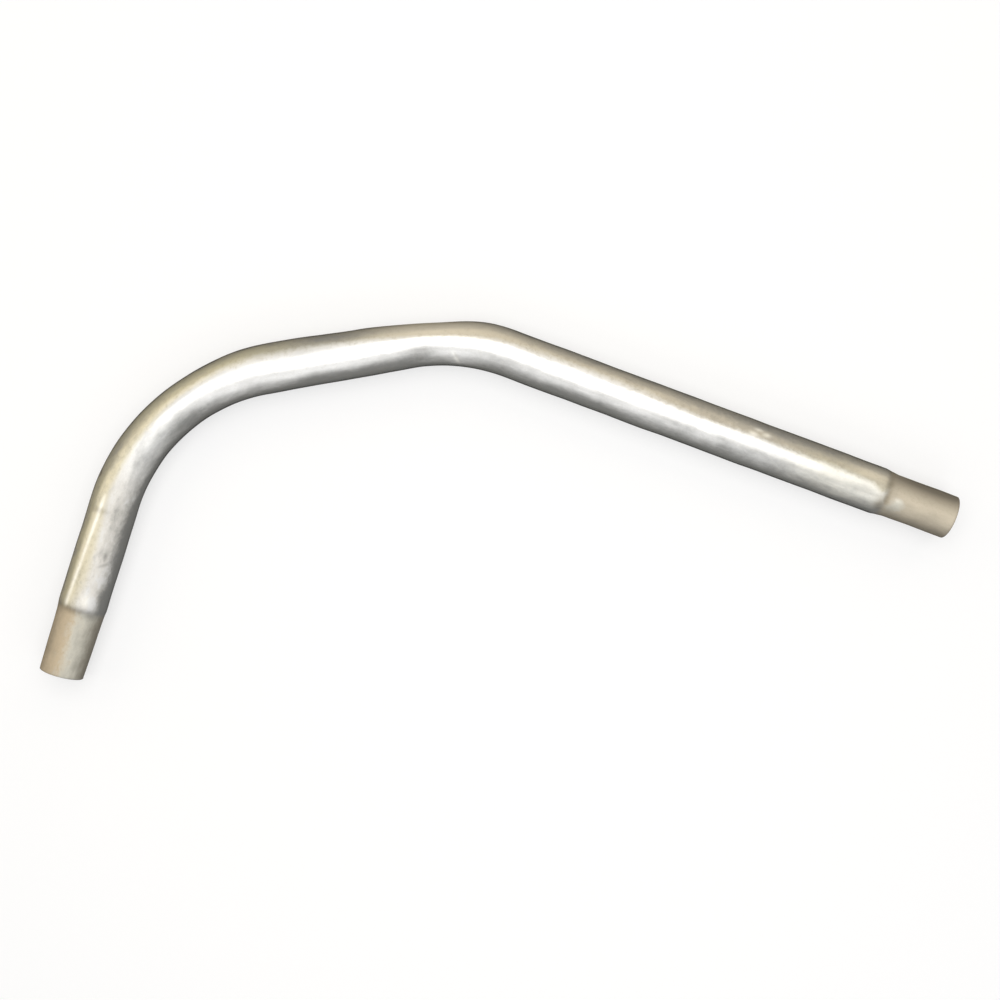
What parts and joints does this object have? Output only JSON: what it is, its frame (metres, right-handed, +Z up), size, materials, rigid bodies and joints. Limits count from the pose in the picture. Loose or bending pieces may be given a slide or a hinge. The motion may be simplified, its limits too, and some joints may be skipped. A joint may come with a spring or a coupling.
{
  "type": "curved leg tube",
  "caption": "Curved leg: a round steel tube bent flat, with its ends swaged down to slip into tubes of the same size.",
  "frame": {"origin": "centre of the bottom of the box around the leg as it lies flat on the ground", "axes": "+X along the long leg to its spigot; the short leg points down -Y; +Z up, square to the plane of the bends"},
  "size_m": [0.6482, 0.384, 0.0381],
  "materials": {
    "galvanised_steel": "satin zinc coat, cloudy and faintly streaked along the tube, duller on the swaged ends"
  },
  "bodies": {
    "root": {"curved_leg": "galvanised_steel"}
  },
  "joints": []
}
